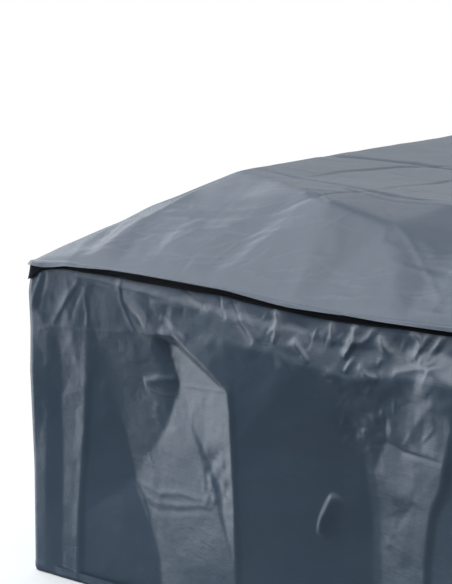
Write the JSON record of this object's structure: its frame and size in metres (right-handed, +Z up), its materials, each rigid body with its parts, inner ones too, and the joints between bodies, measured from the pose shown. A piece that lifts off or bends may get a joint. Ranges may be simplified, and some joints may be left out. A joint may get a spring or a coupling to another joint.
{
  "type": "patio furniture cover",
  "caption": "Rectangular fitted cover of coated cloth for a garden table with chairs: creased, with a sagging top, straight walls and a black binding tape.",
  "frame": {"origin": "underside of the top panel at the middle of the cover, where the furniture under it carries it", "axes": "+X along the front to the right, +Y from the front to the back, +Z up"},
  "size_m": [2.042, 1.686, 0.9081],
  "materials": {
    "coated_cloth": "fine plain weave of synthetic yarn with a satin waterproof coating, blue grey, creased from packing",
    "binding_tape": "black woven binding tape, matte"
  },
  "bodies": {
    "root": {"top_panel": "coated_cloth", "front_panel": "coated_cloth", "right_panel": "coated_cloth", "back_panel": "coated_cloth", "left_panel": "coated_cloth", "binding": "binding_tape"}
  },
  "joints": []
}
